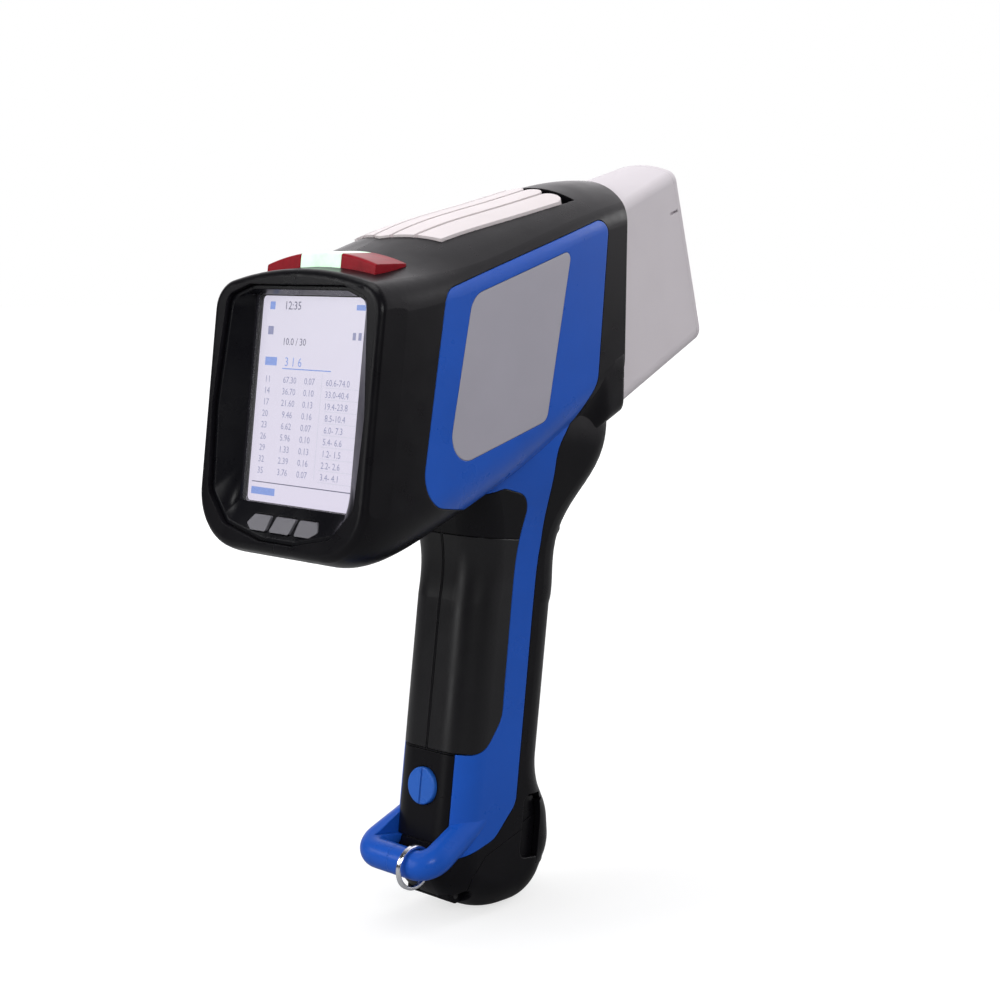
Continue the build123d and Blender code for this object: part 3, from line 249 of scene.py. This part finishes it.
def finishes():
    """One material for each slot of the record."""
    return {
        "black_shell": moulded("charcoal_moulding", (0.0045, 0.0042, 0.0056), 0.30, depth=0.000018,
                               gloss=0.12),
        "blue_cover": moulded("blue_moulding", (0.012, 0.098, 0.53), 0.30, depth=0.00001, drift=0.05,
                              gloss=0.18),
        "blue_button": moulded("blue_button", (0.020, 0.12, 0.52), 0.28, depth=0.00001, drift=0.05,
                               gloss=0.3),
        "grey_inlay": moulded("grey_inlay", (0.40, 0.385, 0.445), 0.40, grain=3000.0, depth=0.000008,
                              drift=0.03),
        "grip_rubber": moulded("grip_elastomer", (0.0048, 0.0045, 0.0058), 0.33, grain=900.0,
                               depth=0.000025, gloss=0.30),
        "bezel": moulded("bezel_moulding", (0.004, 0.004, 0.0055), 0.28, depth=0.000010, gloss=0.14),
        "keys": moulded("key_tops", (0.135, 0.132, 0.148), 0.40, depth=0.00001),
        "inner_plastic": moulded("inner_plastic", (0.02, 0.02, 0.022), 0.5),
        "battery": moulded("battery_case", (0.03, 0.03, 0.033), 0.5),
        "gasket": moulded("foam_gasket", (0.012, 0.012, 0.012), 0.8, grain=2500.0, depth=0.00006),
        "nose": moulded("nose_coating", (0.70, 0.655, 0.690), 0.55, grain=3500.0, depth=0.000006,
                        drift=0.02, gloss=0.15),
        "heat_sink": moulded("white_coating", (0.74, 0.675, 0.685), 0.42, grain=3500.0, depth=0.000006,
                             drift=0.02, edge=0.0004),
        "steel": metal("blackened_steel", (0.10, 0.10, 0.105), 0.38, brushed=True),
        "engine_metal": metal("machined_aluminium", (0.66, 0.66, 0.68), 0.38, brushed=True),
        "ring_steel": metal("polished_steel", (0.90, 0.91, 0.95), 0.18),
        # the red lenses are unlit: their faint red emission is painted glow, standing in for light passing
        # through the red plastic
        "lens_red": lens("red_lens_painted_glow", (0.27, 0.006, 0.014), (1.0, 0.03, 0.06), 0.02),
        "lens_lit": lens("lit_lens", (0.55, 0.80, 0.60), (0.78, 1.0, 0.82), 0.55),
        "display": display("lit_display"),
        "screen_glass": clear("window_glass", (0.9, 0.9, 0.95), 0.05, 0.06),
        "film": clear("window_film", (0.50, 0.36, 0.12), 0.75, 0.25),
        "circuit_board": board("green_laminate"),
    }


def finish_nodes():
    """Put each record slot's material on its nodes."""
    made = finishes()
    for part in frame["record"]["subparts"]:
        node = frame["nodes"][part["node"]]
        for slot in node.material_slots:
            slot.material = made[part["material_slot"]]


# ---------------------------------------------------------------- what the screen shows

SCREEN_RIGHT = Vector((1, 0, 0))
SCREEN_UP = Vector((0, math.sin(GRIP_LEAN), math.cos(GRIP_LEAN)))
SCREEN_OUT = SCREEN_RIGHT.cross(SCREEN_UP)
PRINT_LIFT = 0.12 * MM                 # marks stand this far off the panel
PANEL_EDGE = 1.4 * MM                  # panel beyond the lit area


def screen_centre():
    """Middle of the lit panel's rear face."""
    low, high = (Vector(corner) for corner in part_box("display_panel"))
    panel = high - low
    height = SCREEN_HEIGHT + 2 * PANEL_EDGE
    depth = (panel.y - height * math.sin(GRIP_LEAN)) / math.cos(GRIP_LEAN)
    return (low + high) / 2 + SCREEN_OUT * (depth / 2)


def on_screen(across, up, lift=PRINT_LIFT):
    """Point on the screen, from its middle."""
    return screen_centre() + SCREEN_RIGHT * across + SCREEN_UP * up + SCREEN_OUT * lift


def ink(name, colour, strength=0.9):
    """Lit ink of the display, with the faint unevenness of its pixels."""
    made, shader = new_material(name)
    tree = made.node_tree
    shader.inputs["Base Color"].default_value = (0.02, 0.02, 0.03, 1.0)
    shader.inputs["Roughness"].default_value = 0.3
    lighter = [min(1.0, c * 1.35 + 0.02) for c in colour]
    glow = blend(tree, noise(tree, object_point(tree), 1400.0), colour, lighter)
    tree.links.new(glow, shader.inputs["Emission Color"])
    shader.inputs["Emission Strength"].default_value = strength
    return made


def sheet_of(name, rectangles, material):
    """Flat marks on the screen: centre across, centre up, width, height."""
    points = []
    faces = []
    for across, up, width, height in rectangles:
        start = len(points)
        corners = ((-1, -1), (1, -1), (1, 1), (-1, 1))
        points += [on_screen(across + x * width / 2, up + y * height / 2) for x, y in corners]
        faces.append(tuple(range(start, start + 4)))
    piece = mesh_piece(name, points, faces, material)
    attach(piece, "housing")


def written(name, lines, size, material):
    """Lines of figures on the screen: text, left edge, base line."""
    turn = Matrix((SCREEN_RIGHT, SCREEN_UP, SCREEN_OUT)).transposed().to_4x4()
    points = []
    faces = []
    for text, across, up in lines:
        curve = bpy.data.curves.new("line", "FONT")
        curve.body = text
        curve.size = size
        curve.resolution_u = 2
        source = bpy.data.objects.new("line", curve)
        bpy.context.collection.objects.link(source)
        place = Matrix.Translation(on_screen(across, up, PRINT_LIFT * 1.5)) @ turn
        drawn = bpy.data.meshes.new_from_object(source)
        start = len(points)
        points += [place @ vertex.co for vertex in drawn.vertices]
        faces += [tuple(start + index for index in polygon.vertices) for polygon in drawn.polygons]
        bpy.data.objects.remove(source)
    piece = mesh_piece(name, points, faces, material)
    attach(piece, "housing")


def screen_content():
    """Status line, a few icons, a heading, a table of readings and a footer."""
    left = -SCREEN_WIDTH / 2
    top = SCREEN_HEIGHT / 2
    slate = ink("slate_ink", (0.20, 0.21, 0.36))
    dark = ink("dark_ink", (0.06, 0.06, 0.12))
    blue = ink("blue_ink", (0.16, 0.26, 0.62))
    grey = ink("grey_ink", (0.50, 0.50, 0.60))

    status_y = top - 4.4 * MM
    written("status_figures", [("12:35", left + 11.5 * MM, status_y)], 4.2 * MM, dark)
    battery = [(-left - 5.2 * MM, status_y + 1.3 * MM, 4.6 * MM, 1.9 * MM),
               (-left - 2.6 * MM, status_y + 1.3 * MM, 0.5 * MM, 0.9 * MM),
               (left + 5.0 * MM, status_y + 1.3 * MM, 2.8 * MM, 2.8 * MM)]
    sheet_of("status_marks", battery, blue)

    icon_y = top - 12.0 * MM
    icons = [(left + 5.0 * MM, icon_y, 3.0 * MM, 3.0 * MM),
             (-left - 7.5 * MM, icon_y - 1.0 * MM, 1.6 * MM, 2.6 * MM),
             (-left - 4.6 * MM, icon_y - 1.0 * MM, 1.6 * MM, 2.6 * MM)]
    sheet_of("icons", icons, slate)
    written("reading_time", [("10.0 / 30", left + 12.0 * MM, icon_y - 5.0 * MM)], 3.6 * MM, dark)

    title_y = top - 24.5 * MM
    written("heading", [("3 1 6", left + 14.0 * MM, title_y)], 4.6 * MM, blue)
    sheet_of("heading_lines", [(left + 26.0 * MM, title_y - 0.9 * MM, 26.0 * MM, 0.4 * MM),
                               (left + 6.5 * MM, title_y + 1.5 * MM, 6.5 * MM, 3.0 * MM)], blue)
    table(left, top, slate, grey)

    foot_y = -top + 3.4 * MM
    sheet_of("footer_rule", [(0.0, foot_y + 3.2 * MM, SCREEN_WIDTH - 3.0 * MM, 0.35 * MM)], dark)
    sheet_of("footer_block", [(left + 8.0 * MM, foot_y, 13.0 * MM, 2.6 * MM)], blue)


def table(left, top, slate, grey):
    """Readings in four columns, worked out by a small formula so no two rows agree."""
    rows = 9
    pitch = 4.1 * MM
    first = top - 30.5 * MM
    columns = (4.0, 14.0, 25.5, 37.0)
    lines = []
    rules = []
    for row in range(rows):
        up = first - row * pitch
        share = (67.3 * 0.52 ** row + 1.7 * (row % 3)) % 100
        spare = 0.07 + 0.03 * ((row * 5) % 4)
        limits = f"{share * 0.9:4.1f}-{share * 1.1:4.1f}"
        figures = (f"{11 + 3 * row}", f"{share:5.2f}", f"{spare:4.2f}", limits)
        lines += [(text, left + place * MM, up) for text, place in zip(figures, columns)]
        rules.append((left + 46.0 * MM, up - 0.7 * MM, 18.0 * MM, 0.18 * MM))
    written("table_figures", lines, 3.3 * MM, slate)
    rules.append((left + 34.8 * MM, first - (rows - 2) * pitch / 2, 0.25 * MM, rows * pitch))
    sheet_of("table_rules", rules, grey)


# ---------------------------------------------------------------- skirt under the front of the barrel

SOLE = 3.937 * MM                      # the boot's sole below the grip's own zero
BARREL_HALF = (33.6 * MM, -0.12)       # half width at the grip's middle, and its taper forward
BARREL_FLOOR = (190.7 * MM, 0.54)      # underside likewise
BODY_CORNER = 21.0 * MM                # lower corner of the barrel
SKIRT_CORNER = 6.5 * MM                # squarer corner of the skirt, as on the nose
SKIRT_DROP = 3.4 * MM                  # skirt's floor below the barrel's, to cover the nose's edge
SKIRT_RISE = 26.0 * MM                 # skirt reaches this far up the flanks
SKIRT_LENGTH = 14.0 * MM               # over this length it grows out of the barrel
SKIRT_THICK = 0.6 * MM
SKIRT_SIDE = -1.0                      # its thickness goes inward from the drawn face
SKIRT_SINK = 0.3 * MM                  # its edges start inside the barrel's skin
SKIRT_PROUD = 0.08 * MM
SKIRT_STEPS = 16                       # sections along it
FLANK_STEPS = 5                        # spans of a section up the flank, and across the floor
FLOOR_STEPS = 3
CORNER_TURN = 10                       # degrees between points round its corner
SETTLE = 6                             # passes that find where a point meets the slanted edges
COVER_EDGE = (5.0 * MM, 211.0 * MM, 0.626)  # side cover's front edge: place, bend, slope below it
BOW_MIDDLE = 56.5 * MM                 # front rim of the barrel at the middle
BOW_SIDE = (16.0 * MM, 44.5 * MM)      # its set-back, and at which half width


def from_grip(across, forward, up):
    """Point in the upright grip's frame, carried to the row's."""
    lean = Matrix.Rotation(-GRIP_LEAN, 3, "X")
    return lean @ Vector((across, forward, up)) - Vector((0, 0, SOLE))


def smooth(share):
    """Share eased at both ends."""
    share = min(1.0, max(0.0, share))
    return share * share * (3 - 2 * share)


def skirt_section(forward, start):
    """Right half of the skirt's cross-section, from the flank to the middle."""
    grown = smooth((forward - start) / SKIRT_LENGTH)
    corner = BODY_CORNER + (SKIRT_CORNER - BODY_CORNER) * grown
    half = BARREL_HALF[0] + BARREL_HALF[1] * forward - SKIRT_SINK + (SKIRT_SINK + SKIRT_PROUD) * grown
    floor_line = BARREL_FLOOR[0] + BARREL_FLOOR[1] * forward
    top = floor_line + SKIRT_RISE
    low = floor_line + SKIRT_SINK - (SKIRT_SINK + SKIRT_DROP) * grown
    points = [(half - SKIRT_SINK - SKIRT_PROUD, top)]
    flank = low + corner - top
    points += [(half, top + flank * step / FLANK_STEPS) for step in range(1, FLANK_STEPS)]
    turn = [math.radians(angle) for angle in range(0, 91, CORNER_TURN)]
    points += [(half - corner * (1 - math.cos(a)), low + corner * (1 - math.sin(a))) for a in turn]
    points += [((half - corner) * (1 - step / FLOOR_STEPS), low) for step in range(1, FLOOR_STEPS + 1)]
    return points


def skirt_point(share, place):
    """Point of the skirt a share of the way from the side cover's edge to the barrel's rim."""
    forward = 10.0 * MM
    for _ in range(SETTLE):
        start = COVER_EDGE[0]
        across, up = skirt_section(forward, start)[place]
        start += COVER_EDGE[2] * min(0.0, up - COVER_EDGE[1])
        across, up = skirt_section(forward, start)[place]
        rim = BOW_MIDDLE - BOW_SIDE[0] * (across / BOW_SIDE[1]) ** 2
        end = (rim - up * math.sin(GRIP_LEAN)) / math.cos(GRIP_LEAN)
        forward = start + (end - start) * share
    return across, forward, up


def skirt():
    """Square-cornered skirt that carries the barrel down over the root of the nose."""
    count = len(skirt_section(0.0, 0.0))
    points = []
    for step in range(SKIRT_STEPS + 1):
        half = [skirt_point(step / SKIRT_STEPS, place) for place in range(count)]
        whole = half + [(-across, forward, up) for across, forward, up in reversed(half[:-1])]
        points += [from_grip(*point) for point in whole]
    row = 2 * count - 1
    faces = [(row * s + i, row * s + i + 1, row * (s + 1) + i + 1, row * (s + 1) + i)
             for s in range(SKIRT_STEPS) for i in range(row - 1)]
    shell = frame["nodes"]["housing_right"].material_slots[0].material
    piece = mesh_piece("barrel_skirt", points, faces, shell)
    piece.data.polygons.foreach_set("use_smooth", [True] * len(faces))
    thick = piece.modifiers.new("thickness", "SOLIDIFY")
    thick.thickness = SKIRT_THICK
    thick.offset = SKIRT_SIDE
    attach(piece, "housing")


# ---------------------------------------------------------------- camera, floor and lights

ROOM_GLOSS = 0.02                      # what glosses see on the operator's side
BACKDROP_GLOSS = 1.50                  # and beyond the object, brighter than white
GLOSS_SPAN = (-0.2, 0.7)               # forward part of the direction between the two
SKY_LOW = 0.16                         # soft sky at the horizon and overhead
SKY_HIGH = 0.62
LIGHT_AIM = Vector((0.0, 0.0, 0.16))
FLOOR_LIFT = (0.68, 1.00)              # glow that whitens the floor, by the object and far off
FLOOR_REACH = (0.25, 1.20)             # from this far to this far, in metres
FLOOR_HALF = 8.0


def camera():
    """The photograph's camera."""
    back = Vector((math.sin(AZIMUTH) * math.cos(ELEVATION), -math.cos(AZIMUTH) * math.cos(ELEVATION),
                   math.sin(ELEVATION)))
    right = Vector((math.cos(AZIMUTH), math.sin(AZIMUTH), 0.0))
    turn = Matrix((right, back.cross(right), back)).transposed().to_4x4()
    lens_data = bpy.data.cameras.new("camera")
    lens_data.sensor_width = SENSOR
    lens_data.lens = FOCAL_PIXELS / FRAME_PIXELS * SENSOR
    lens_data.clip_start = 0.01
    made = bpy.data.objects.new("camera", lens_data)
    made.matrix_world = Matrix.Translation(TARGET + back * DISTANCE) @ turn @ Matrix.Rotation(ROLL, 4, "Z")
    bpy.context.collection.objects.link(made)
    bpy.context.scene.camera = made


def seen_plainly(tree):
    """1 for a ray that reaches the background straight or through glass."""
    path = tree.nodes.new("ShaderNodeLightPath")
    either = add(tree, "ShaderNodeMath")
    either.operation = "MAXIMUM"
    tree.links.new(path.outputs["Is Camera Ray"], either.inputs[0])
    tree.links.new(path.outputs["Is Transmission Ray"], either.inputs[1])
    return either.outputs[0]


def ramp_between(tree, value, span, levels):
    """Value of a direction carried from one span of numbers to another."""
    ramp = tree.nodes.new("ShaderNodeMapRange")
    ramp.interpolation_type = "SMOOTHSTEP"
    for socket, number in zip(("From Min", "From Max", "To Min", "To Max"), (*span, *levels)):
        ramp.inputs[socket].default_value = number
    tree.links.new(value, ramp.inputs["Value"])
    return ramp.outputs["Result"]


def backing(tree, strength, colour):
    """Background of one colour whose strength comes from a socket."""
    node = tree.nodes.new("ShaderNodeBackground")
    node.inputs["Color"].default_value = colour
    tree.links.new(strength, node.inputs["Strength"])
    return node.outputs[0]


def either_shader(tree, share, first, second):
    """Second shader where share is 1, the first where it is 0."""
    mix = tree.nodes.new("ShaderNodeMixShader")
    tree.links.new(share, mix.inputs["Fac"])
    tree.links.new(first, mix.inputs[1])
    tree.links.new(second, mix.inputs[2])
    return mix.outputs[0]


def world():
    """White background, soft sky, and for glosses a dim room before the object and a bright one beyond."""
    sky = bpy.data.worlds.new("studio")
    sky.use_nodes = True
    tree = sky.node_tree
    direction = tree.nodes.new("ShaderNodeSeparateXYZ")
    tree.links.new(tree.nodes.new("ShaderNodeTexCoord").outputs["Generated"], direction.inputs["Vector"])
    soft = backing(tree, ramp_between(tree, direction.outputs["Z"], (0.0, 1.0), (SKY_LOW, SKY_HIGH)),
                   (0.98, 0.98, 1.0, 1.0))
    room = ramp_between(tree, direction.outputs["Y"], GLOSS_SPAN, (ROOM_GLOSS, BACKDROP_GLOSS))
    gloss = backing(tree, room, (1.0, 0.97, 1.0, 1.0))
    white = tree.nodes["Background"]
    white.inputs["Color"].default_value = (1.0, 1.0, 1.0, 1.0)
    path = tree.nodes.new("ShaderNodeLightPath")
    seen = either_shader(tree, path.outputs["Is Glossy Ray"], soft, gloss)
    seen = either_shader(tree, seen_plainly(tree), seen, white.outputs[0])
    tree.links.new(seen, tree.nodes["World Output"].inputs["Surface"])
    bpy.context.scene.world = sky


def floor():
    """Wide pale floor that keeps the shadow."""
    corners = [(x * FLOOR_HALF, y * FLOOR_HALF, 0.0) for x, y in ((-1, -1), (1, -1), (1, 1), (-1, 1))]
    made, shader = new_material("pale_floor")
    tree = made.node_tree
    tint(tree, shader, noise(tree, object_point(tree), 6.0), (0.40, 0.40, 0.40), (0.42, 0.42, 0.42))
    shader.inputs["Roughness"].default_value = 0.9
    shader.inputs["Specular IOR Level"].default_value = 0.0
    shader.inputs["Emission Color"].default_value = (1.0, 1.0, 1.0, 1.0)
    away = add(tree, "ShaderNodeVectorMath")
    away.operation = "LENGTH"
    tree.links.new(object_point(tree), away.inputs[0])
    lift = add(tree, "ShaderNodeMath")
    lift.operation = "MULTIPLY"
    tree.links.new(seen_plainly(tree), lift.inputs[0])
    tree.links.new(ramp_between(tree, away.outputs["Value"], FLOOR_REACH, FLOOR_LIFT), lift.inputs[1])
    tree.links.new(lift.outputs[0], shader.inputs["Emission Strength"])
    piece = mesh_piece("floor", corners, [(0, 1, 2, 3)], made)


def area_light(name, place, size, power, height=None):
    """Soft box at a place, facing the object: round, or a tall ellipse where it has a height."""
    data = bpy.data.lights.new(name, "AREA")
    data.shape = "ELLIPSE" if height else "DISK"
    data.size = size
    data.size_y = height or size
    data.energy = power
    lamp = bpy.data.objects.new(name, data)
    lamp.location = place
    lamp.rotation_euler = (LIGHT_AIM - Vector(place)).to_track_quat("-Z", "Y").to_euler()
    bpy.context.collection.objects.link(lamp)


def lights():
    """Soft boxes above, to each side and behind, and a tall one at the operator's left."""
    area_light("overhead", (-0.25, -0.25, 1.35), 0.9, 6.8)
    area_light("right_box", (1.15, -0.95, 0.85), 0.5, 7.4)
    area_light("left_box", (-0.9, -1.1, 0.7), 0.6, 4.5)
    area_light("behind", (0.4, 1.3, 0.8), 0.6, 5.0)
    area_light("strip", (-0.33, -1.32, 0.35), 0.35, 4.5, height=1.3)


bpy.context.scene.view_settings.view_transform = "Standard"
finish_nodes()
screen_content()
skirt()
world()
floor()
lights()
camera()
